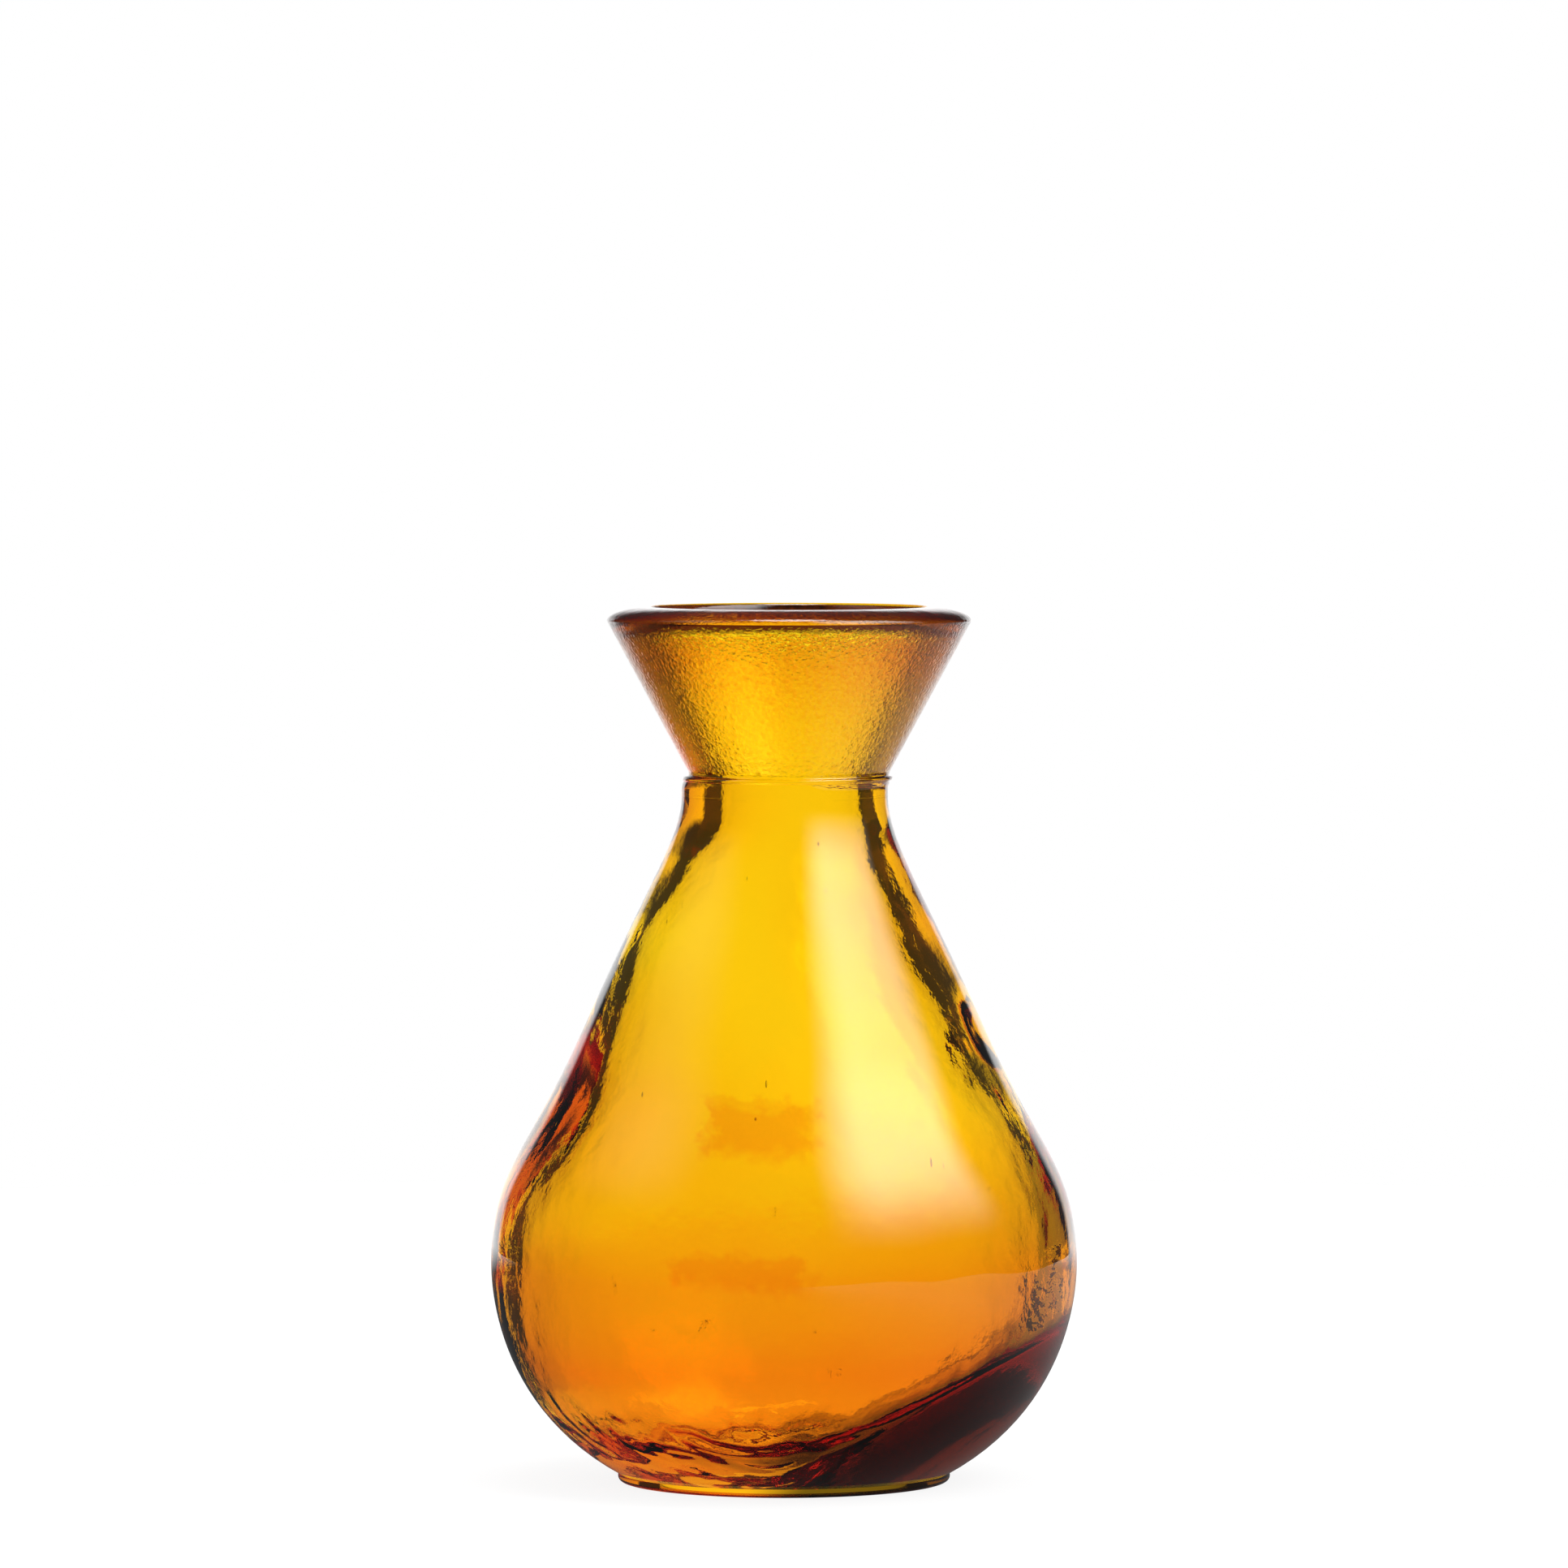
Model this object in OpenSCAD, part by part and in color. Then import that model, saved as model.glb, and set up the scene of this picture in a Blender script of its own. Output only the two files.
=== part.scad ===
// Glass bud vase: a flared collar and a pear-shaped blown body, joined hot at the neck, on a low standing ring.
// Origin at the centre of the standing face, +Z up along the vase's axis.

/* [Overall] */
// Height from the standing face to the top of the lip
total_height = 120; // [100:1:150]

/* [Collar] */
// Widest diameter of the mouth, outside the lip
mouth_diameter = 50; // [42:0.5:60]
// Inside diameter of the mouth, at the bottom of the lip
mouth_opening = 36.8; // [30:0.2:39]
// Height of the collar and its lip above the neck
collar_height = 22.6; // [18:0.2:28]
// Height of the rounded lip on top of the collar
lip_height = 1.9; // [1:0.1:3]

/* [Neck] */
// Outside diameter of the straight neck
neck_diameter = 28.4; // [26:0.2:35]
// Bore of the neck, which holds the stem
neck_bore = 19; // [15:0.5:23]
// Length of the straight neck
neck_length = 3.4; // [2.6:0.2:6]
// How far the seam lies below the top of the neck
seam_drop = 0.9; // [0.8:0.1:1.2]
// How far the neck is set in above the seam
seam_step = 0.4; // [0.2:0.1:0.7]

/* [Body] */
// Widest diameter of the body
belly_diameter = 80.4; // [66:0.2:97]
// Height of the widest part of the body
belly_height = 30; // [25:1:36]
// Outside diameter half way down the shoulder
shoulder_diameter = 55.6; // [46:0.2:62]
// Height at which the shoulder has that diameter
shoulder_height = 61.8; // [52:0.2:66]
// Slope of the shoulder there, from the upright
shoulder_slope = 24; // [18:1:30]
// Thickness of the glass in the body
body_wall = 3.9; // [2.5:0.1:4.8]
// Height of the inside floor of the body at its centre
floor_height = 6.5; // [5:0.5:12]

/* [Foot] */
// Outside diameter of the standing ring where it meets the body
foot_diameter = 45.6; // [38:0.2:55]
// Height of the standing ring
foot_height = 1.2; // [1:0.1:2]
// Diameter of the recess inside the standing ring
recess_diameter = 34; // [28:0.5:36]
// How far the recess is domed up into the body's base
recess_depth = 1.8; // [1:0.1:3]
// Slope of the body where it meets the standing ring, from the level
foot_slope = 29; // [20:1:38]

/* [Hidden] */
$fn = 96;
AMBER = [0.93, 0.6, 0.08, 0.75];
CURVE_STEPS = 12; // straight bands in each curve of an outline
LIP_STEPS = 8; // straight bands in the lip's outer curve, and half as many in its inner edge
LIP_EDGE_SHARE = 0.15; // share of the lip's width that its rounded inner edge takes
// Reach of each curve's end tangents, as shares of the height or the width that the curve spans
NECK_REACH = 0.18;
SHOULDER_REACH_UP = 0.68;
SHOULDER_REACH_DOWN = 0.57;
BELLY_REACH_UP = 0.41;
BELLY_REACH_DOWN = 0.18;
FOOT_REACH = 1.03;
FLOOR_REACH = 0.7;
FLOOR_CORNER_REACH = 0.75;
RECESS_REACH = 0.5;
FOOT_EDGE_SHARE = 0.6; // share of the ring's height that is rounded off at its outer edge

neck_r = neck_diameter / 2;
bore_r = neck_bore / 2;
neck_top = total_height - collar_height;
neck_bottom = neck_top - neck_length;
collar_neck_r = neck_r - seam_step;
seam_z = neck_top - seam_drop;

// The lip is a low dome on the end of the collar, with its crest near its inner edge.
mouth_r = mouth_diameter / 2;
opening_r = mouth_opening / 2;
lip_bottom = total_height - lip_height;
crest_r = opening_r + LIP_EDGE_SHARE * (mouth_r - opening_r);

foot_r = foot_diameter / 2;
recess_r = recess_diameter / 2;

// Points of a cubic Bezier curve from a to d, both ends included
function bezier(a, b, c, d) = [
    for (i = [0:CURVE_STEPS])
        let (t = i / CURVE_STEPS, s = 1 - t)
            s * s * s * a + 3 * s * s * t * b + 3 * s * t * t * c + t * t * t * d
];

// Points round an arc about a centre, from one angle to another, with its radius across and its radius upwards given
function arc(centre, radii, from, to, steps) = [
    for (i = [0:steps])
        let (angle = from + (to - from) * i / steps)
            centre + [radii[0] * cos(angle), radii[1] * sin(angle)]
];

// A list without its first point, for joining two curves that share it
function after_first(points) = [for (i = [1:len(points) - 1]) points[i]];

// A list in the opposite order
function reversed(points) = [for (i = [len(points) - 1:-1:0]) points[i]];

// One side of the body from the neck to the belly, [radius, height], with the neck, shoulder and belly given
function shoulder_side(neck, shoulder, belly) =
    let (
        up_the_slope = [-sin(shoulder_slope), cos(shoulder_slope)],
        neck_drop = neck[1] - shoulder[1],
        belly_drop = shoulder[1] - belly[1]
    )
    concat(
        bezier(
            neck,
            neck - [0, NECK_REACH * neck_drop],
            shoulder + SHOULDER_REACH_UP * neck_drop * up_the_slope,
            shoulder
        ),
        after_first(bezier(
            shoulder,
            shoulder - SHOULDER_REACH_DOWN * belly_drop * up_the_slope,
            belly + [0, BELLY_REACH_UP * belly_drop],
            belly
        ))
    );

neck_outer = [neck_r, neck_bottom];
neck_inner = [bore_r, neck_bottom];
shoulder_outer = [shoulder_diameter / 2, shoulder_height];
shoulder_inner = shoulder_outer - body_wall * [cos(shoulder_slope), sin(shoulder_slope)];
belly_outer = [belly_diameter / 2, belly_height];
belly_inner = belly_outer - [body_wall, 0];
foot_joint = [foot_r, foot_height];
floor_centre = [0, floor_height];

outer_side = shoulder_side(neck_outer, shoulder_outer, belly_outer);
inner_side = shoulder_side(neck_inner, shoulder_inner, belly_inner);
base_side = bezier(
    belly_outer,
    belly_outer - [0, BELLY_REACH_DOWN * (belly_height - foot_height)],
    foot_joint + FOOT_REACH * (belly_outer[0] - foot_r) * [cos(foot_slope), sin(foot_slope)],
    foot_joint
);
floor_side = bezier(
    belly_inner,
    belly_inner - [0, FLOOR_CORNER_REACH * (belly_height - floor_height)],
    floor_centre + [FLOOR_REACH * belly_inner[0], 0],
    floor_centre
);
recess_side = bezier(
    [recess_r, foot_height],
    [recess_r * RECESS_REACH, foot_height + recess_depth],
    [recess_r * RECESS_REACH, foot_height + recess_depth],
    [0, foot_height + recess_depth]
);

// The low domed lip at the mouth: a sharp lower edge outside, and a rounded inner edge
module rim_lip() {
    color(AMBER)
        rotate_extrude()
            polygon(concat(
                arc([crest_r, lip_bottom], [mouth_r - crest_r, lip_height], 0, 90, LIP_STEPS),
                after_first(arc([crest_r, lip_bottom], [crest_r - opening_r, lip_height], 90, 180, LIP_STEPS / 2))
            ));
}

// The funnel between the neck and the lip
module flared_collar() {
    color(AMBER)
        rotate_extrude()
            polygon([
                [bore_r, neck_top],
                [collar_neck_r, neck_top],
                [mouth_r, lip_bottom],
                [opening_r, lip_bottom]
            ]);
}

// The straight neck, with its bore and the step of the seam round its outside
module neck_ring() {
    color(AMBER)
        rotate_extrude()
            polygon([
                [bore_r, neck_bottom],
                neck_outer,
                [neck_r, seam_z - seam_step],
                [neck_r + seam_step / 2, seam_z],
                [collar_neck_r, seam_z + seam_step],
                [collar_neck_r, neck_top],
                [bore_r, neck_top]
            ]);
}

// The hollow body, from the neck down to the standing ring, with its thick floor and the recess underneath
module blown_body() {
    color(AMBER)
        rotate_extrude()
            polygon(concat(
                outer_side,
                after_first(base_side),
                recess_side,
                reversed(floor_side),
                after_first(reversed(inner_side))
            ));
}

// The ring that the vase stands on, its outer edge rounded under
module foot_ring() {
    edge = FOOT_EDGE_SHARE * foot_height;
    edge_r = foot_r - edge;
    color(AMBER)
        rotate_extrude()
            polygon(concat(
                [[recess_r, foot_height], [recess_r, 0]],
                arc([edge_r, edge], [edge, edge], -90, 0, CURVE_STEPS / 2),
                [foot_joint]
            ));
}

rim_lip();
flared_collar();
neck_ring();
blown_body();
foot_ring();
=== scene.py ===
"""Amber glass bud vase: a flared collar and a pear-shaped blown body, joined hot at the neck.

Each piece is turned from its outline, in metres, and then given the wander of hand-blown glass.
"""
import math
import random

import bpy
from bpy.props import FloatProperty, FloatVectorProperty, IntProperty, PointerProperty
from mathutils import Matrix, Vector, noise


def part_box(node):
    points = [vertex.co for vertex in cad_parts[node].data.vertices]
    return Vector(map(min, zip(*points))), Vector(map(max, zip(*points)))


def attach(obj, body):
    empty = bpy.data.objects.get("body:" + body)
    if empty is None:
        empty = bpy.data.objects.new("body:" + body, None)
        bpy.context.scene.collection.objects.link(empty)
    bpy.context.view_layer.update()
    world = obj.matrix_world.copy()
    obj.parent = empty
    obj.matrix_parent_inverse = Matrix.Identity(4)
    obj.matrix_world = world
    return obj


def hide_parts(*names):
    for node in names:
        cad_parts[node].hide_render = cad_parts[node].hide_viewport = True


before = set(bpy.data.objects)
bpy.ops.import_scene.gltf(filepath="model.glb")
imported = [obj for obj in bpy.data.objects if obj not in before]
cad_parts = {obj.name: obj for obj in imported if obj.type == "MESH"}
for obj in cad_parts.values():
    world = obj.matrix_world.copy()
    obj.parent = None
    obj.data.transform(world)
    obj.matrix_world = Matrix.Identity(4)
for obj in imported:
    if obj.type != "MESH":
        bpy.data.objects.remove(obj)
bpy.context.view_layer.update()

bl_info = {
    "name": "Amber Bud Vase",
    "version": (1, 0, 0),
    "blender": (4, 5, 0),
    "location": "View3D > Sidebar > Bud Vase",
    "description": "Builds a hand-blown amber glass bud vase around its packed frame",
    "category": "Add Mesh",
}

MM = 0.001

# The frame's own sizes: the pieces stand exactly where its nodes do.
FOOT_LOW, FOOT_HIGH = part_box("foot_ring")
BODY_LOW, BODY_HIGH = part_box("blown_body")
NECK_LOW, NECK_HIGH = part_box("neck_ring")
LIP_LOW, LIP_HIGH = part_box("rim_lip")

# A joint's two faces stand this far apart, so that no two faces share a place.
JOINT_GAP = 0.01 * MM


# ---------------------------------------------------------------- settings


class VaseShape(bpy.types.PropertyGroup):
    """Sizes of the outline."""

    belly_height: FloatProperty(
        name="Belly height", description="Height of the widest part of the body",
        default=30 * MM, unit="LENGTH")
    shoulder_radius: FloatProperty(
        name="Shoulder radius", description="Outside radius half way down the shoulder",
        default=27.8 * MM, unit="LENGTH")
    shoulder_height: FloatProperty(
        name="Shoulder height", description="Height at which the shoulder has that radius",
        default=61.8 * MM, unit="LENGTH")
    shoulder_slope: FloatProperty(
        name="Shoulder slope", description="Slope of the shoulder there, from the upright",
        default=math.radians(24), subtype="ANGLE")
    foot_slope: FloatProperty(
        name="Foot slope", description="Slope of the body where it meets the ring, from the level",
        default=math.radians(29), subtype="ANGLE")
    recess_radius: FloatProperty(
        name="Recess radius", description="Radius of the recess inside the standing ring",
        default=17 * MM, unit="LENGTH")
    recess_depth: FloatProperty(
        name="Recess depth", description="How far the recess is domed up into the base",
        default=1.8 * MM, unit="LENGTH")
    bore_radius: FloatProperty(
        name="Bore radius", description="Radius of the bore of the neck",
        default=9.5 * MM, unit="LENGTH")
    body_wall: FloatProperty(
        name="Body wall", description="Thickness of the glass at the shoulder",
        default=4.0 * MM, unit="LENGTH")
    belly_wall: FloatProperty(
        name="Belly wall", description="Thickness of the glass at the belly",
        default=5.0 * MM, unit="LENGTH")
    opening_radius: FloatProperty(
        name="Opening radius", description="Inside radius of the mouth, at the bottom of the lip",
        default=18.4 * MM, unit="LENGTH")
    lip_edge: FloatProperty(
        name="Lip edge", description="Width of the rounded inner edge of the lip",
        default=1 * MM, unit="LENGTH")
    floor_height: FloatProperty(
        name="Floor height", description="Height of the inside floor at its centre",
        default=4.6 * MM, unit="LENGTH")
    seam_drop: FloatProperty(
        name="Seam drop", description="How far the seam lies below the top of the neck",
        default=0.9 * MM, unit="LENGTH")
    seam_step: FloatProperty(
        name="Seam step", description="How far the neck is set in above the seam",
        default=0.4 * MM, unit="LENGTH")


class VaseBlowing(bpy.types.PropertyGroup):
    """How far the glass departs from a turned shape."""

    segments: IntProperty(
        name="Segments", description="Faces round the vase", default=384, min=32)
    collar_shift: FloatProperty(
        name="Collar shift", description="How far the collar was set off the body's axis",
        default=0.6 * MM, unit="LENGTH")
    ripple: FloatProperty(
        name="Ripple", description="Height of the ripples on the inside of the body",
        default=0.1 * MM, unit="LENGTH")
    swell: FloatProperty(
        name="Swell", description="Height of the broad swells on the inside of the body",
        default=0.45 * MM, unit="LENGTH")
    heel_slope: FloatProperty(
        name="Heel slope", description="Slope of the thick heel of glass low on the right",
        default=math.radians(28), subtype="ANGLE")
    heel_start: FloatProperty(
        name="Heel start", description="Distance from the axis at which the heel rises from the floor",
        default=9 * MM, unit="LENGTH")
    floor_fold: FloatProperty(
        name="Floor folds", description="Height of the folds in the inside floor",
        default=0.45 * MM, unit="LENGTH")
    seeds: IntProperty(
        name="Seeds", description="Number of small bubbles in the wall of the body", default=36, min=0)


class VaseGlass(bpy.types.PropertyGroup):
    """The amber glass."""

    ior: FloatProperty(name="Refractive index", description="Refractive index of the glass", default=1.5)
    absorption: FloatVectorProperty(
        name="Absorption", description="Red, green and blue light taken out per metre of glass",
        default=(18.0, 78.0, 800.0), size=3)
    surface_tint: FloatVectorProperty(
        name="Surface tint", description="Tint of the light that passes the surface",
        default=(0.92, 0.55, 0.3), size=3, subtype="COLOR")
    # Painted shade: the heel low on the right is darkened to stand for the dark surroundings seen through it.
    heel_painted_shade: FloatVectorProperty(
        name="Heel tint", description="Tint of the thick heel low on the right",
        default=(0.17, 0.2, 0.3), size=3, subtype="COLOR")
    # Painted shade: the mouth's inner edge is painted near black to stand for the dark surroundings seen
    # there.
    rim_painted_shade: FloatVectorProperty(
        name="Rim tint", description="Colour of the mouth's inner edge, where the glass is darkest",
        default=(0.012, 0.0008, 0.0006), size=3, subtype="COLOR")
    satin: FloatProperty(
        name="Satin", description="Roughness of the collar's grained skin", default=0.13, subtype="FACTOR")


class VaseStudio(bpy.types.PropertyGroup):
    """The floor, the light and the camera."""

    camera_distance: FloatProperty(
        name="Camera distance", description="Distance of the camera in front of the vase's axis",
        default=1.395, unit="LENGTH")
    camera_height: FloatProperty(
        name="Camera height", description="Height of the camera above the floor",
        default=0.1565, unit="LENGTH")
    aim_height: FloatProperty(
        name="Aim height", description="Height on the vase's axis that the camera looks at",
        default=0.0957, unit="LENGTH")
    lens: FloatProperty(name="Lens", description="Focal length in millimetres", default=234.0)
    backdrop: FloatProperty(
        name="Backdrop", description="Brightness of the white backdrop seen through the glass", default=1.32)
    key_light: FloatProperty(
        name="Key light", description="Brightness of the large soft light on the right", default=6.7)
    fill_light: FloatProperty(
        name="Fill light", description="Brightness of the weak light on the left", default=0.8)
    top_light: FloatProperty(
        name="Top light", description="Brightness of the light overhead", default=9.0)
    shade: FloatProperty(
        name="Shade", description="Brightness of the unlit studio", default=0.07)
    floor_radius: FloatProperty(
        name="Floor radius", description="Radius of the round floor", default=0.5, unit="LENGTH")


# ---------------------------------------------------------------- curves


def bezier(a, b, c, d, steps):
    """Points of a cubic curve from a to d, both ends included."""
    points = []
    for i in range(steps + 1):
        t = i / steps
        s = 1 - t
        weights = (s * s * s, 3 * s * s * t, 3 * s * t * t, t * t * t)
        points.append(Vector((
            sum(w * p[0] for w, p in zip(weights, (a, b, c, d))),
            sum(w * p[1] for w, p in zip(weights, (a, b, c, d))),
        )))
    return points


def arc(centre, across, upwards, start, end, steps):
    """Points round an arc, with its radius across and its radius upwards. An angle of 0 points outwards."""
    points = []
    for i in range(steps + 1):
        angle = math.radians(start + (end - start) * i / steps)
        points.append(Vector((centre[0] + across * math.cos(angle), centre[1] + upwards * math.sin(angle))))
    return points


def line(a, b, steps):
    """Points along a straight line, both ends included."""
    return [Vector(a).lerp(Vector(b), i / steps) for i in range(steps + 1)]


def ease(value, low, high):
    """0 below low, 1 above high, and smooth between."""
    t = min(1.0, max(0.0, (value - low) / (high - low)))
    return t * t * (3 - 2 * t)


def along(stops, value):
    """A smooth value between (position, value) stops, lowest position first."""
    if value <= stops[0][0]:
        return stops[0][1]
    for (p0, v0), (p1, v1) in zip(stops, stops[1:]):
        if value <= p1:
            return v0 + (v1 - v0) * ease(value, p0, p1)
    return stops[-1][1]


# ---------------------------------------------------------------- the outline


# Reach of each curve's end tangents, as shares of the height or width that the curve spans
NECK_REACH = 0.18
SHOULDER_REACH_UP = 0.68
SHOULDER_REACH_DOWN = 0.57
BELLY_REACH_UP = 0.41
BELLY_REACH_DOWN = 0.18
FOOT_REACH = 1.03
FLOOR_CORNER_REACH = 1.0
FLOOR_REACH = 0.75


def body_side(shape, neck, shoulder, belly, steps):
    """One side of the body, from the neck down to the belly."""
    slope = Vector((-math.sin(shape.shoulder_slope), math.cos(shape.shoulder_slope)))
    neck_drop = neck.y - shoulder.y
    belly_drop = shoulder.y - belly.y
    upper = bezier(
        neck, neck - Vector((0, NECK_REACH * neck_drop)),
        shoulder + SHOULDER_REACH_UP * neck_drop * slope, shoulder, steps)
    lower = bezier(
        shoulder, shoulder - SHOULDER_REACH_DOWN * belly_drop * slope,
        belly + Vector((0, BELLY_REACH_UP * belly_drop)), belly, steps)
    return upper + lower[1:]


def neck_radius(shape):
    """Outside radius of the neck below the seam."""
    return NECK_HIGH.x - shape.seam_step / 2


def body_outline(shape):
    """The body's outside, from the foot ring to the neck, and its inside, from the neck to the floor."""
    neck = Vector((neck_radius(shape), BODY_HIGH.z))
    shoulder = Vector((shape.shoulder_radius, shape.shoulder_height))
    belly = Vector((BODY_HIGH.x, shape.belly_height))
    foot = Vector((FOOT_HIGH.x, FOOT_HIGH.z))
    rise = Vector((math.cos(shape.foot_slope), math.sin(shape.foot_slope)))
    base = bezier(
        belly, belly - Vector((0, BELLY_REACH_DOWN * (belly.y - foot.y))),
        foot + FOOT_REACH * (belly.x - foot.x) * rise, foot, 24)
    outside = body_side(shape, neck, shoulder, belly, 22) + base[1:]

    inward = Vector((math.cos(shape.shoulder_slope), math.sin(shape.shoulder_slope)))
    inner_neck = Vector((shape.bore_radius, BODY_HIGH.z))
    inner_shoulder = shoulder - shape.body_wall * inward
    inner_belly = belly - Vector((shape.belly_wall, 0))
    floor = Vector((0, shape.floor_height))
    bowl = bezier(
        inner_belly, inner_belly - Vector((0, FLOOR_CORNER_REACH * (belly.y - floor.y))),
        floor + Vector((FLOOR_REACH * inner_belly.x, 0)), floor, 64)
    inside = body_side(shape, inner_neck, inner_shoulder, inner_belly, 48) + bowl[1:]
    return outside[::-1], inside


def recess_outline(shape):
    """The underside inside the standing ring, from the axis outwards."""
    edge = Vector((shape.recess_radius, FOOT_HIGH.z))
    middle = Vector((shape.recess_radius / 2, FOOT_HIGH.z + shape.recess_depth))
    return bezier(Vector((0, middle.y)), middle, middle, edge, 16)


# ---------------------------------------------------------------- the glass's own wander


# Sideways place of the hollow's axis by height: the wall is thinner on the side it moves to.
HOLLOW_WANDER = [
    (8 * MM, -0.6 * MM),
    (32 * MM, -0.2 * MM),
    (50 * MM, 0.9 * MM),
    (60 * MM, 0.3 * MM),
    (75 * MM, -1.2 * MM),
    (84 * MM, -0.4 * MM),
    (91 * MM, 0.6 * MM),
    (NECK_LOW.z + 1 * MM, 0.6 * MM),
    (NECK_HIGH.z, 0.0),
]

# Waves per metre of the ripples and of the swells on the inside. The ripples are drawn out upwards.
FINE = 190.0
BROAD = 55.0
UPRIGHT_STRETCH = 0.5


def axis_shift(blowing, z):
    """How far the axis stands to the right of the belly's at a height."""
    collar = blowing.collar_shift * ease(z, NECK_LOW.z + 1 * MM, NECK_HIGH.z)
    return collar + 0.1 * MM * ease(z, 80 * MM, 94 * MM)


# Each place where the inside was pinched: its angle round the vase, height, size and depth.
# A negative depth leaves the wall thinner.
PINCHES = [
    (math.radians(-6), 60.5 * MM, 2.7 * MM, 2.2 * MM),
    (math.radians(9), 56.5 * MM, 1.6 * MM, -0.6 * MM),
    (math.radians(184), 50 * MM, 7.5 * MM, 1.7 * MM),
    (math.radians(172), 61 * MM, 3 * MM, -0.6 * MM),
]


def pinch_depth(angle, r, z):
    """How far the pinches stand into the hollow at a place on it."""
    depth = 0.0
    for around, height, size, most in PINCHES:
        across = r * math.remainder(angle - around, 2 * math.pi)
        depth += most * math.exp(-(across * across + (z - height) ** 2) / (size * size))
    return depth


def hollow_depth(blowing, x, y, z):
    """How far the inside stands into the hollow at a place on it."""
    place = Vector((x, y, z * UPRIGHT_STRETCH))
    fine = noise.noise(place * FINE + Vector((3.7, 1.2, 8.8)))
    finer = noise.noise(place * FINE * 2.3 + Vector((6.1, 4.4, 0.3)))
    broad = noise.noise(Vector((x, y, z)) * BROAD + Vector((0.4, 9.1, 2.6)))
    body = 1 - ease(z, 86 * MM, NECK_LOW.z)
    return body * (blowing.ripple * (fine + 0.45 * finer) + blowing.swell * broad)


# Waves per metre of the folds in the floor, from side to side and from front to back
FOLDS_ACROSS = 130
FOLDS_DEEP = 260


def folded_floor(blowing, x, y):
    """Height of the folds in the floor at a place."""
    place = Vector((x * FOLDS_ACROSS, y * FOLDS_DEEP, 0.0))
    bend = noise.noise(place * 0.5 + Vector((5.2, 1.1, 0)))
    ridge = 1 - abs(noise.noise(place + Vector((1.3, 2.4 + 1.5 * bend, 0.6))) * 2)
    fine = noise.noise(place * 2.6 + Vector((0.2, 3.3, 1.8 + bend)))
    return blowing.floor_fold * (ridge + 0.35 * fine)


# Height of the heel's surface where it starts, and how softly it runs into the floor
HEEL_HEIGHT = 9 * MM
HEEL_SOFTNESS = 1.5 * MM


def blown(blowing, r, z, angle, inside):
    """Where a point of the turned outline ends up in the blown vase."""
    x = r * math.cos(angle)
    y = r * math.sin(angle)
    if inside:
        depth = hollow_depth(blowing, x, y, z) + pinch_depth(angle, r, z)
        bowl = 1 - ease(r, 0.0, 6 * MM)
        x -= depth * math.cos(angle) * (1 - bowl)
        y -= depth * math.sin(angle) * (1 - bowl)
        x += along(HOLLOW_WANDER, z) * ease(r, 0.0, 8 * MM)
        low = 1 - ease(z, 10 * MM, 16 * MM)
        z += low * folded_floor(blowing, x, y)
        heel = HEEL_HEIGHT + math.tan(blowing.heel_slope) * (x - blowing.heel_start)
        lift = heel - z
        if z < 40 * MM and lift > -4 * HEEL_SOFTNESS:
            z += HEEL_SOFTNESS * math.log1p(math.exp(lift / HEEL_SOFTNESS))
    return x + axis_shift(blowing, z), y, z


# ---------------------------------------------------------------- mesh


def turned_mesh(name, runs, raised, shell_verts=(), shell_faces=()):
    """A closed mesh turned from runs of points, each with a mark for the inside of the vase.

    A joint face leads from each run to the next, and back to the start if that is off the axis.
    The shells are further points and faces for the same mesh.
    """
    blowing = bpy.context.scene.vase_blowing
    count = blowing.segments
    angles = [2 * math.pi * j / count for j in range(count)]
    verts = []
    rings = []
    inner = []
    ends = []
    outline = []
    for points, inside in runs:
        outline += [(p, inside) for p in points]
        ends.append(len(outline) - 1)
    for point, inside in outline:
        here = angles if point.x > 1e-6 else [0.0]
        rings.append([len(verts) + j for j in range(len(here))])
        for angle in here:
            x, y, z = blown(blowing, point.x, point.y, angle, inside)
            verts.append((x, y, z + raised))
            inner.append(1.0 if inside else 0.0)
    pairs = list(zip(rings, rings[1:]))
    if len(rings[0]) > 1:
        pairs.append((rings[-1], rings[0]))
    joint_rows = [i in ends for i in range(len(pairs))]
    faces = []
    joints = []
    for (low, high), joint in zip(pairs, joint_rows):
        for j in range(count):
            k = (j + 1) % count
            if len(low) == 1:
                faces.append((low[0], high[k], high[j]))
            elif len(high) == 1:
                faces.append((low[j], low[k], high[0]))
            else:
                faces.append((low[j], low[k], high[k], high[j]))
            joints.append(1.0 if joint else 0.0)
    faces += [tuple(len(verts) + i for i in face) for face in shell_faces]
    joints += [0.0] * len(shell_faces)
    inner += [0.0] * len(shell_verts)
    verts += shell_verts
    mesh = bpy.data.meshes.new(name)
    mesh.from_pydata(verts, [], faces)
    mesh.attributes.new("inside", "FLOAT", "POINT").data.foreach_set("value", inner)
    mesh.attributes.new("joint", "FLOAT", "FACE").data.foreach_set("value", joints)
    mesh.shade_smooth()
    sharpen_joints(mesh, joints)
    return mesh


def sharpen_joints(mesh, joints):
    """Makes the edges round each joint face sharp, so that its own shading stays off the walls."""
    owners = {}
    for polygon in mesh.polygons:
        for key in polygon.edge_keys:
            owners.setdefault(key, []).append(joints[polygon.index])
    sharp = [len(set(owners[edge.key])) > 1 for edge in mesh.edges]
    mesh.attributes.new("sharp_edge", "BOOLEAN", "EDGE").data.foreach_set("value", sharp)


def radius_at(points, z):
    """Radius of an outline at a height."""
    for a, b in zip(points, points[1:]):
        if a.y != b.y and min(a.y, b.y) <= z <= max(a.y, b.y):
            return a.x + (b.x - a.x) * (z - a.y) / (b.y - a.y)
    raise ValueError("the outline does not reach this height")


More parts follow.
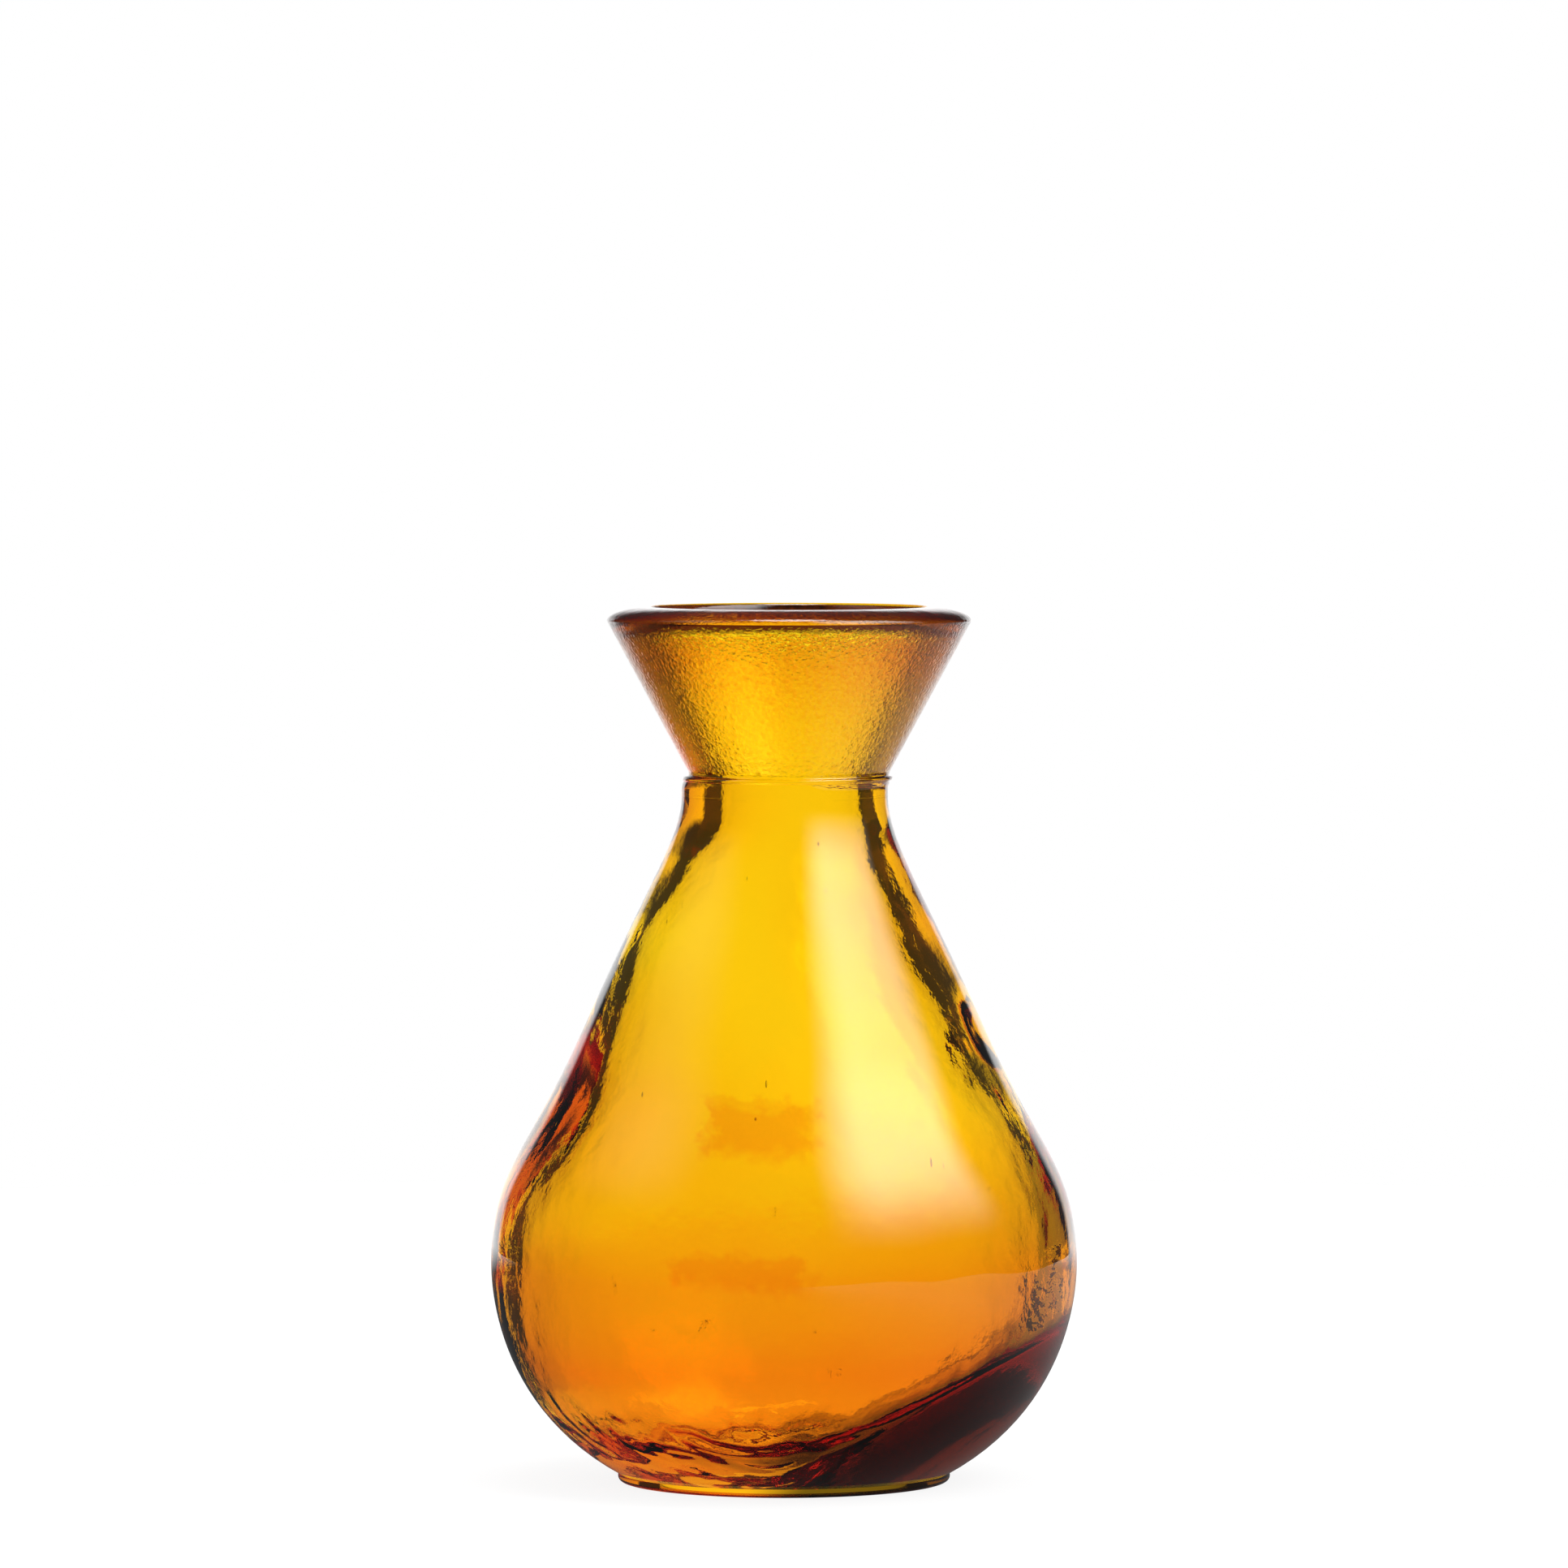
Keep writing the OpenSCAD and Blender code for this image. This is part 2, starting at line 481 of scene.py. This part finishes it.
def seed_shells(blowing, outside, inside):
    """Small bubbles within the wall: closed shells that face inwards, drawn out upwards."""
    picker = random.Random(11)
    verts = []
    faces = []
    around = 8
    levels = 6
    for _ in range(blowing.seeds):
        z = picker.uniform(16 * MM, 90 * MM)
        angle = picker.uniform(0, 2 * math.pi)
        share = picker.uniform(0.4, 0.7)
        r = share * radius_at(outside, z) + (1 - share) * radius_at(inside, z)
        width = picker.uniform(0.06, 0.14) * MM
        length = width * picker.uniform(1.2, 6)
        cx, cy, cz = blown(blowing, r, z, angle, False)
        first = len(verts)
        verts.append((cx, cy, cz - length))
        for i in range(1, levels):
            lean = math.pi * i / levels
            for j in range(around):
                turn = 2 * math.pi * j / around
                out = width * math.sin(lean)
                side = (out * math.cos(turn), out * math.sin(turn))
                verts.append((cx + side[0], cy + side[1], cz - length * math.cos(lean)))
        verts.append((cx, cy, cz + length))
        last = len(verts) - 1
        for j in range(around):
            k = (j + 1) % around
            faces.append((first, first + 1 + j, first + 1 + k))
            for i in range(levels - 2):
                low, high = first + 1 + i * around, first + 1 + (i + 1) * around
                faces.append((low + k, low + j, high + j, high + k))
            top = first + 1 + (levels - 2) * around
            faces.append((last, top + k, top + j))
    return verts, faces


def place_piece(name, mesh, node):
    """Puts a finished glass piece in the scene in place of its frame node."""
    piece = bpy.data.objects.new(name, mesh)
    bpy.context.scene.collection.objects.link(piece)
    mesh.materials.append(amber_glass())
    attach(piece, "root")
    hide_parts(node)
    return piece


# ---------------------------------------------------------------- materials


def node_maker(tree):
    """A function that adds a node, sets its fields and feeds its inputs by name, or by number as i0, i1."""
    def add(kind, fields=None, **feeds):
        node = tree.nodes.new(kind)
        for key, value in (fields or {}).items():
            setattr(node, key, value)
        for key, value in feeds.items():
            numbered = key[0] == "i" and key[1:].isdigit()
            socket = node.inputs[int(key[1:]) if numbered else key.replace("_", " ")]
            if isinstance(value, bpy.types.NodeSocket):
                tree.links.new(value, socket)
            else:
                socket.default_value = value
        return node
    return add


def calc(add, operation, a, b=0.0):
    """The result of a Math node."""
    return add("ShaderNodeMath", {"operation": operation}, i0=a, i1=b).outputs[0]


def ramp(add, value, low, high, start=0.0, end=1.0):
    """A smooth change from start to end as value goes from low to high."""
    return add("ShaderNodeMapRange", {"interpolation_type": "SMOOTHSTEP"},
               i0=value, i1=low, i2=high, i3=start, i4=end).outputs[0]


def window(add, value, limits, soft):
    """1 between two limits, falling to 0 over the softness on either side of each."""
    rise = ramp(add, value, limits[0] - soft[0], limits[0] + soft[0])
    fall = ramp(add, value, limits[1] - soft[1], limits[1] + soft[1], 1.0, 0.0)
    return calc(add, "MULTIPLY", rise, fall)


def product(add, *factors):
    """Several values multiplied together."""
    result = factors[0]
    for factor in factors[1:]:
        result = calc(add, "MULTIPLY", result, factor)
    return result


# Each band of tint: the heights in millimetres where it starts and is full, and its share of the full tint.
# A negative share takes tint away again.
TINT_DEPTHS = [
    (75, 36, 0.14),
    (36, 28, 0.4),
    (30, 10, 0.65),
    (9, 4, -0.4),
    (104, 115, 0.28),
    (116, 117, -0.28),
    (117.6, 118.2, 0.2),
]

# Each patch of painted shade on the front of the body: its left, right, bottom and top in millimetres, and its
# share of the full tint.
FRONT_SHADE_PATCHES = [
    (-10, 4, 46.6, 53.8, 0.6),
    (-14.5, 2.8, 30, 33.4, 0.4),
]


def noise_field(add, place, scale, detail):
    """The value of a noise texture at a place."""
    fields = {"noise_dimensions": "3D"}
    return add("ShaderNodeTexNoise", fields, Vector=place, Scale=scale, Detail=detail).outputs["Fac"]


def skin_relief(add, grain, ripple, swell, grained, rippled):
    """Height of the glass's skin: a fine grain, ripples and broad swells."""
    relief = product(add, grain, grained, 0.12 * MM)
    relief = calc(add, "ADD", relief, product(add, ripple, rippled, 0.07 * MM))
    return calc(add, "ADD", relief, product(add, swell, 0.25 * MM))


def front_shade_patches(add, axes, ripple, swell):
    """Depth of tint in the ragged patches of painted shade on the front of the body."""
    front = ramp(add, axes["Y"], -5 * MM, -10 * MM)
    ragged = ramp(add, ripple, 0.3, 0.7, -1.8 * MM, 1.8 * MM)
    sway = ramp(add, swell, 0.3, 0.7, -0.8 * MM, 0.8 * MM)
    ragged_x = calc(add, "ADD", axes["X"], ragged)
    ragged_height = calc(add, "ADD", calc(add, "ADD", axes["Z"], product(add, ragged, 0.4)), sway)
    depth = 0.0
    for left, right, low, high, share in FRONT_SHADE_PATCHES:
        across = window(add, ragged_x, (left * MM, right * MM), (1 * MM, 2 * MM))
        upwards = window(add, ragged_height, (low * MM, high * MM), (1.2 * MM, 0.6 * MM))
        depth = calc(add, "ADD", depth, product(add, across, upwards, front, share))
    return depth


def tint_depth(add, place, axes, grain, ripple, swell, grained):
    """How deep the amber tint of the surface is, from 0 for none to 1 for all of it, with the painted shade of
    the front patches added.
    """
    drawn_out = add("ShaderNodeMapping", Vector=place, Scale=(60.0, 60.0, 14.0)).outputs[0]
    depth = product(add, noise_field(add, drawn_out, 1.0, 2.0), 0.06)
    for start, end, share in TINT_DEPTHS:
        depth = calc(add, "ADD", depth, ramp(add, axes["Z"], start * MM, end * MM, 0.0, share))
    depth = calc(add, "ADD", depth, product(add, ramp(add, grain, 0.35, 0.65, -0.3, 0.3), grained))
    # The collar's sides are deeper amber towards the lip.
    sideways = calc(add, "ABSOLUTE", axes["X"])
    sides = ramp(add, sideways, 10 * MM, 20 * MM, 0.0, 0.4)
    high = ramp(add, axes["Z"], 104 * MM, 113 * MM)
    depth = calc(add, "ADD", depth, product(add, sides, grained, high))
    # The front patches add painted shade.
    return calc(add, "ADD", depth, front_shade_patches(add, axes, ripple, swell))


def mouth_shade_mask(add, axes, lip, shift):
    """Where the mouth's painted shade lies: 1 on the lip's inner edge, fading to 0 on its dome."""
    level = add("ShaderNodeCombineXYZ", i0=calc(add, "SUBTRACT", axes["X"], shift), i1=axes["Y"]).outputs[0]
    radius = add("ShaderNodeVectorMath", {"operation": "LENGTH"}, i0=level).outputs["Value"]
    return product(add, ramp(add, radius, 19.2 * MM, 18.9 * MM), lip)


def mix_colours(add, factor, first, second, blend="MIX"):
    """The colour of a Mix node. Each colour is a socket or three numbers."""
    node = add("ShaderNodeMix", {"data_type": "RGBA", "blend_type": blend}, Factor=factor)
    for socket, colour in ((node.inputs[6], first), (node.inputs[7], second)):
        if isinstance(colour, bpy.types.NodeSocket):
            node.id_data.links.new(colour, socket)
        else:
            socket.default_value = (*colour, 1.0)
    return node.outputs[2]


def amber_glass():
    """Clear amber glass, with a rippled skin inside, a grained skin on the collar, and painted shade on the
    heel, the mouth's inner edge and patches on the front.
    """
    material = bpy.data.materials.get("blown_amber")
    if material:
        return material
    glass = bpy.context.scene.vase_glass
    blowing = bpy.context.scene.vase_blowing
    material = bpy.data.materials.new("blown_amber")
    material.use_nodes = True
    tree = material.node_tree
    tree.nodes.clear()
    add = node_maker(tree)
    place = add("ShaderNodeTexCoord").outputs["Object"]
    axes = add("ShaderNodeSeparateXYZ", i0=place).outputs
    inside = add("ShaderNodeAttribute", {"attribute_name": "inside"}).outputs["Fac"]
    joint = add("ShaderNodeAttribute", {"attribute_name": "joint"}).outputs["Fac"]
    grain = noise_field(add, place, 1900.0, 1.0)
    ripple = noise_field(add, place, 420.0, 3.0)
    swell = noise_field(add, place, 60.0, 1.0)

    collar = ramp(add, axes["Z"], NECK_HIGH.z - 1 * MM, NECK_HIGH.z + 1 * MM)
    lip = ramp(add, axes["Z"], LIP_LOW.z - 0.5 * MM, LIP_LOW.z + 0.5 * MM)
    grained = calc(add, "SUBTRACT", collar, lip)
    relief = skin_relief(add, grain, ripple, swell, grained, calc(add, "MAXIMUM", inside, lip))
    bump = add("ShaderNodeBump", Height=relief, Distance=1.0, Strength=calc(add, "SUBTRACT", 1.0, joint))

    depth = tint_depth(add, place, axes, grain, ripple, swell, grained)
    colour = mix_colours(add, depth, (1.0, 1.0, 1.0), glass.surface_tint)
    # Painted shade: the thick heel low on the right is darkened to stand for the dark surroundings seen
    # through it.
    slant = product(add, axes["X"], math.tan(blowing.heel_slope))
    heel = ramp(add, calc(add, "SUBTRACT", axes["Z"], slant), -1 * MM, 4 * MM, 1.0, 0.0)
    colour = mix_colours(add, heel, colour, glass.heel_painted_shade, "MULTIPLY")
    # Painted shade: the mouth's inner edge is painted near black.
    colour = mix_colours(add, mouth_shade_mask(add, axes, lip, blowing.collar_shift), colour, glass.rim_painted_shade)

    # Where two pieces are joined hot there is no surface, so a joint face neither bends nor mirrors light.
    bending = ramp(add, joint, 0.0, 1.0, glass.ior, 1.0)
    roughness = product(add, grained, glass.satin)
    shader = add("ShaderNodeBsdfPrincipled", Base_Color=colour, Transmission_Weight=1.0,
                 Roughness=roughness, IOR=bending, Normal=bump.outputs[0])
    strongest = max(glass.absorption)
    passed = [1 - a / strongest for a in glass.absorption]
    volume = add("ShaderNodeVolumeAbsorption", Density=strongest, Color=(*passed, 1.0))
    add("ShaderNodeOutputMaterial", Surface=shader.outputs[0], Volume=volume.outputs[0])
    return material


# Light that has crossed more surfaces than this has been through both walls of the vase.
BOTH_WALLS = 3.5


def floor_material():
    """Pale floor. It looks white, and the glass sees it bright behind the vase and dim close to it."""
    studio = bpy.context.scene.vase_studio
    material = bpy.data.materials.new("pale_floor")
    material.use_nodes = True
    tree = material.node_tree
    tree.nodes.clear()
    add = node_maker(tree)
    matt = add("ShaderNodeBsdfDiffuse", Color=(0.9, 0.9, 0.9, 1.0))
    white = add("ShaderNodeEmission", Color=(1.0, 1.0, 1.0, 1.0), Strength=1.0)
    looks = add("ShaderNodeMixShader", i0=0.12, i1=white.outputs[0], i2=matt.outputs[0])
    place = add("ShaderNodeSeparateXYZ", i0=add("ShaderNodeTexCoord").outputs["Object"])
    path = add("ShaderNodeLightPath")
    through = calc(add, "GREATER_THAN", path.outputs["Transmission Depth"], BOTH_WALLS)
    direct = calc(add, "LESS_THAN", path.outputs["Glossy Depth"], 0.5)
    clear = product(add, through, direct)
    behind = ramp(add, place.outputs["Y"], 0.25, 0.45)
    # The dim floor is darkest on the left. A patch of it by the foot lights the thick base from below.
    dim = ramp(add, place.outputs["X"], 0.0, 0.15, 0.08, 0.5)
    across = window(add, place.outputs["X"], (-0.08, 0.04), (0.02, 0.02))
    deep = window(add, place.outputs["Y"], (-0.02, 0.1), (0.01, 0.03))
    within = calc(add, "GREATER_THAN", path.outputs["Transmission Depth"], 0.5)
    beside_foot = product(add, within, across, deep)
    bright = calc(add, "MAXIMUM", calc(add, "MAXIMUM", clear, behind), beside_foot)
    strength = add("ShaderNodeMix", {"data_type": "FLOAT"}, Factor=bright, i2=dim, i3=studio.backdrop)
    lit = add("ShaderNodeEmission", Color=(1.0, 1.0, 1.0, 1.0), Strength=strength.outputs[0])
    seen = path.outputs["Is Camera Ray"]
    mixed = add("ShaderNodeMixShader", i0=seen, i1=lit.outputs[0], i2=looks.outputs[0])
    add("ShaderNodeOutputMaterial", Surface=mixed.outputs[0])
    return material


# ---------------------------------------------------------------- the stage


def patch(add, side, side_range, side_soft, up, up_range, up_soft, strength):
    """Brightness of a soft light that fills a range of directions, in degrees."""
    across = window(add, side, side_range, side_soft)
    upwards = window(add, up, up_range, up_soft)
    return product(add, across, upwards, strength)


def light_studio():
    """The world: plain white where it is seen directly, and a studio where the glass bends or mirrors it.

    The studio has a white backdrop, a large soft light on the right, a weak one on the left and one overhead.
    """
    studio = bpy.context.scene.vase_studio
    world = bpy.data.worlds.new("studio")
    bpy.context.scene.world = world
    world.use_nodes = True
    tree = world.node_tree
    tree.nodes.clear()
    add = node_maker(tree)
    direction = add("ShaderNodeTexCoord").outputs["Generated"]
    x, y, z = add("ShaderNodeSeparateXYZ", i0=direction).outputs
    degrees = 180 / math.pi
    behind = product(add, calc(add, "ARCTAN2", x, y), degrees)
    front = product(add, calc(add, "ARCTAN2", x, product(add, y, -1.0)), degrees)
    up = product(add, calc(add, "ARCSINE", z), degrees)
    lights = [
        patch(add, front, (32, 97), (17, 9), up, (30, 72), (22, 6), studio.key_light),
        patch(add, front, (-108, -60), (8, 22), up, (38, 66), (16, 8), studio.fill_light),
        patch(add, up, (76, 100), (5, 2), up, (76, 100), (5, 2), studio.top_light),
    ]
    lit = studio.shade
    for light in lights:
        lit = calc(add, "ADD", lit, light)
    # The backdrop is seen mirrored, through one wall, and through both walls, where it fills more of the view.
    mirrored = patch(add, behind, (-28, 28), (3, 3), up, (-100, 14), (2, 8), studio.backdrop)
    narrow = patch(add, behind, (-14, 38), (3, 5), up, (-100, 45), (2, 12), studio.backdrop)
    dim = 0.2
    wide = patch(add, behind, (-62, 62), (16, 16), up, (-100, 38), (2, 14), studio.backdrop - dim)
    for side in ((78, 102), (-102, -78)):
        screen = patch(add, behind, side, (12, 12), up, (-100, 30), (2, 14), studio.backdrop - dim)
        wide = calc(add, "ADD", wide, screen)
    path = add("ShaderNodeLightPath")
    seen = path.outputs["Is Camera Ray"]
    soft = path.outputs["Is Diffuse Ray"]
    through = calc(add, "GREATER_THAN", path.outputs["Transmission Depth"], BOTH_WALLS)
    reflected = calc(add, "GREATER_THAN", path.outputs["Glossy Depth"], 0.5)

    def choose(switch, off, on):
        return add("ShaderNodeMix", {"data_type": "FLOAT"}, Factor=switch, i2=off, i3=on).outputs[0]

    brightness = choose(through, calc(add, "ADD", lit, narrow), calc(add, "ADD", dim, wide))
    brightness = choose(reflected, brightness, calc(add, "ADD", lit, mirrored))
    brightness = choose(soft, brightness, 1.25)
    brightness = choose(seen, brightness, 1.0)
    background = add("ShaderNodeBackground", Color=(1.0, 1.0, 1.0, 1.0), Strength=brightness)
    add("ShaderNodeOutputWorld", Surface=background.outputs[0])


# ---------------------------------------------------------------- operators


class VASE_OT_foot_ring(bpy.types.Operator):
    """Turn the low ring that the vase stands on"""

    bl_idname = "vase.foot_ring"
    bl_label = "Foot Ring"

    def execute(self, context):
        shape = context.scene.vase_shape
        edge = 0.6 * FOOT_HIGH.z
        inner = 0.3 * MM
        outline = line((shape.recess_radius, FOOT_HIGH.z), (shape.recess_radius, inner), 2)
        outline += arc((shape.recess_radius + inner, inner), inner, inner, 180, 270, 4)[1:]
        outline += arc((FOOT_HIGH.x - edge, edge), edge, edge, -90, 0, 8)
        outline += [Vector((FOOT_HIGH.x, FOOT_HIGH.z))]
        mesh = turned_mesh("foot_ring_glass", [(outline, False)], 0.0)
        place_piece("foot_ring_glass", mesh, "foot_ring")
        return {"FINISHED"}


class VASE_OT_blown_body(bpy.types.Operator):
    """Blow the hollow body, with its heel, folded floor and seeds"""

    bl_idname = "vase.blown_body"
    bl_label = "Blown Body"

    def execute(self, context):
        shape = context.scene.vase_shape
        outside, inside = body_outline(shape)
        runs = [(recess_outline(shape), False), (outside, False), (inside, True)]
        seed_verts, seed_faces = seed_shells(context.scene.vase_blowing, outside, inside)
        mesh = turned_mesh("blown_body_glass", runs, JOINT_GAP, seed_verts, seed_faces)
        place_piece("blown_body_glass", mesh, "blown_body")
        return {"FINISHED"}


class VASE_OT_neck_ring(bpy.types.Operator):
    """Turn the straight neck, with the step of the seam round it"""

    bl_idname = "vase.neck_ring"
    bl_label = "Neck Ring"

    def execute(self, context):
        shape = context.scene.vase_shape
        radius = neck_radius(shape)
        set_in = radius - shape.seam_step
        seam = NECK_HIGH.z - shape.seam_drop
        outline = line((radius, NECK_LOW.z), (radius, seam - shape.seam_step), 5)
        outline += arc((radius - 0.2 * MM, seam), shape.seam_step, shape.seam_step, -60, 60, 8)
        outline += line((set_in, seam + shape.seam_step), (set_in, NECK_HIGH.z), 2)
        bore = line((shape.bore_radius, NECK_HIGH.z), (shape.bore_radius, NECK_LOW.z), 5)
        mesh = turned_mesh("neck_ring_glass", [(outline, False), (bore, True)], 2 * JOINT_GAP)
        place_piece("neck_ring_glass", mesh, "neck_ring")
        return {"FINISHED"}


class VASE_OT_flared_collar(bpy.types.Operator):
    """Turn the funnel between the neck and the lip"""

    bl_idname = "vase.flared_collar"
    bl_label = "Flared Collar"

    def execute(self, context):
        shape = context.scene.vase_shape
        outer = line((neck_radius(shape) - shape.seam_step, NECK_HIGH.z), (LIP_HIGH.x, LIP_LOW.z), 40)
        inner = line((shape.opening_radius, LIP_LOW.z), (shape.bore_radius, NECK_HIGH.z), 40)
        mesh = turned_mesh("flared_collar_glass", [(outer, False), (inner, True)], 3 * JOINT_GAP)
        place_piece("flared_collar_glass", mesh, "flared_collar")
        return {"FINISHED"}


class VASE_OT_rim_lip(bpy.types.Operator):
    """Turn the low domed lip"""

    bl_idname = "vase.rim_lip"
    bl_label = "Rim Lip"

    def execute(self, context):
        shape = context.scene.vase_shape
        crest = shape.opening_radius + shape.lip_edge
        height = LIP_HIGH.z - LIP_LOW.z
        outline = arc((crest, LIP_LOW.z), LIP_HIGH.x - crest, height, 0, 90, 24)
        outline += arc((crest, LIP_LOW.z), shape.lip_edge, height, 90, 180, 10)[1:]
        mesh = turned_mesh("rim_lip_glass", [(outline, False)], 4 * JOINT_GAP)
        place_piece("rim_lip_glass", mesh, "rim_lip")
        return {"FINISHED"}


class VASE_OT_stage(bpy.types.Operator):
    """Lay the pale floor, light the studio and set the camera"""

    bl_idname = "vase.stage"
    bl_label = "Stage"

    def execute(self, context):
        scene = context.scene
        studio = scene.vase_studio
        count = 128
        ring = [2 * math.pi * j / count for j in range(count)]
        mesh = bpy.data.meshes.new("floor")
        reach = studio.floor_radius
        verts = [(reach * math.cos(a), reach * math.sin(a), 0) for a in ring]
        mesh.from_pydata(verts, [], [tuple(range(count))])
        floor = bpy.data.objects.new("floor", mesh)
        scene.collection.objects.link(floor)
        mesh.materials.append(floor_material())
        light_studio()

        camera = bpy.data.objects.new("camera", bpy.data.cameras.new("camera"))
        scene.collection.objects.link(camera)
        camera.location = (0, -studio.camera_distance, studio.camera_height)
        aim = Vector((0, 0, studio.aim_height)) - camera.location
        camera.rotation_euler = aim.to_track_quat("-Z", "Y").to_euler()
        camera.data.sensor_width = 36.0
        camera.data.lens = studio.lens
        scene.camera = camera
        scene.view_settings.view_transform = "Standard"
        scene.cycles.max_bounces = 24
        scene.cycles.transmission_bounces = 24
        scene.cycles.glossy_bounces = 12
        return {"FINISHED"}


class VASE_PT_panel(bpy.types.Panel):
    """Sizes, glass and light of the vase, and a button for each of its pieces"""

    bl_idname = "VASE_PT_panel"
    bl_label = "Bud Vase"
    bl_space_type = "VIEW_3D"
    bl_region_type = "UI"
    bl_category = "Bud Vase"

    def draw(self, context):
        for group in (s for s, _ in SETTINGS):
            settings = getattr(context.scene, group)
            box = self.layout.box()
            for name in settings.__annotations__:
                box.prop(settings, name)
        for operator in OPERATORS:
            self.layout.operator(operator.bl_idname)


SETTINGS = [
    ("vase_shape", VaseShape),
    ("vase_blowing", VaseBlowing),
    ("vase_glass", VaseGlass),
    ("vase_studio", VaseStudio),
]
OPERATORS = [
    VASE_OT_stage,
    VASE_OT_foot_ring,
    VASE_OT_blown_body,
    VASE_OT_neck_ring,
    VASE_OT_flared_collar,
    VASE_OT_rim_lip,
]


def register():
    for name, group in SETTINGS:
        bpy.utils.register_class(group)
        setattr(bpy.types.Scene, name, PointerProperty(type=group))
    for operator in OPERATORS:
        bpy.utils.register_class(operator)
    bpy.utils.register_class(VASE_PT_panel)


def unregister():
    bpy.utils.unregister_class(VASE_PT_panel)
    for operator in reversed(OPERATORS):
        bpy.utils.unregister_class(operator)
    for name, group in reversed(SETTINGS):
        delattr(bpy.types.Scene, name)
        bpy.utils.unregister_class(group)


def main():
    register()
    bpy.ops.vase.stage()
    bpy.ops.vase.foot_ring()
    bpy.ops.vase.blown_body()
    bpy.ops.vase.neck_ring()
    bpy.ops.vase.flared_collar()
    bpy.ops.vase.rim_lip()


if __name__ == "__main__":
    main()
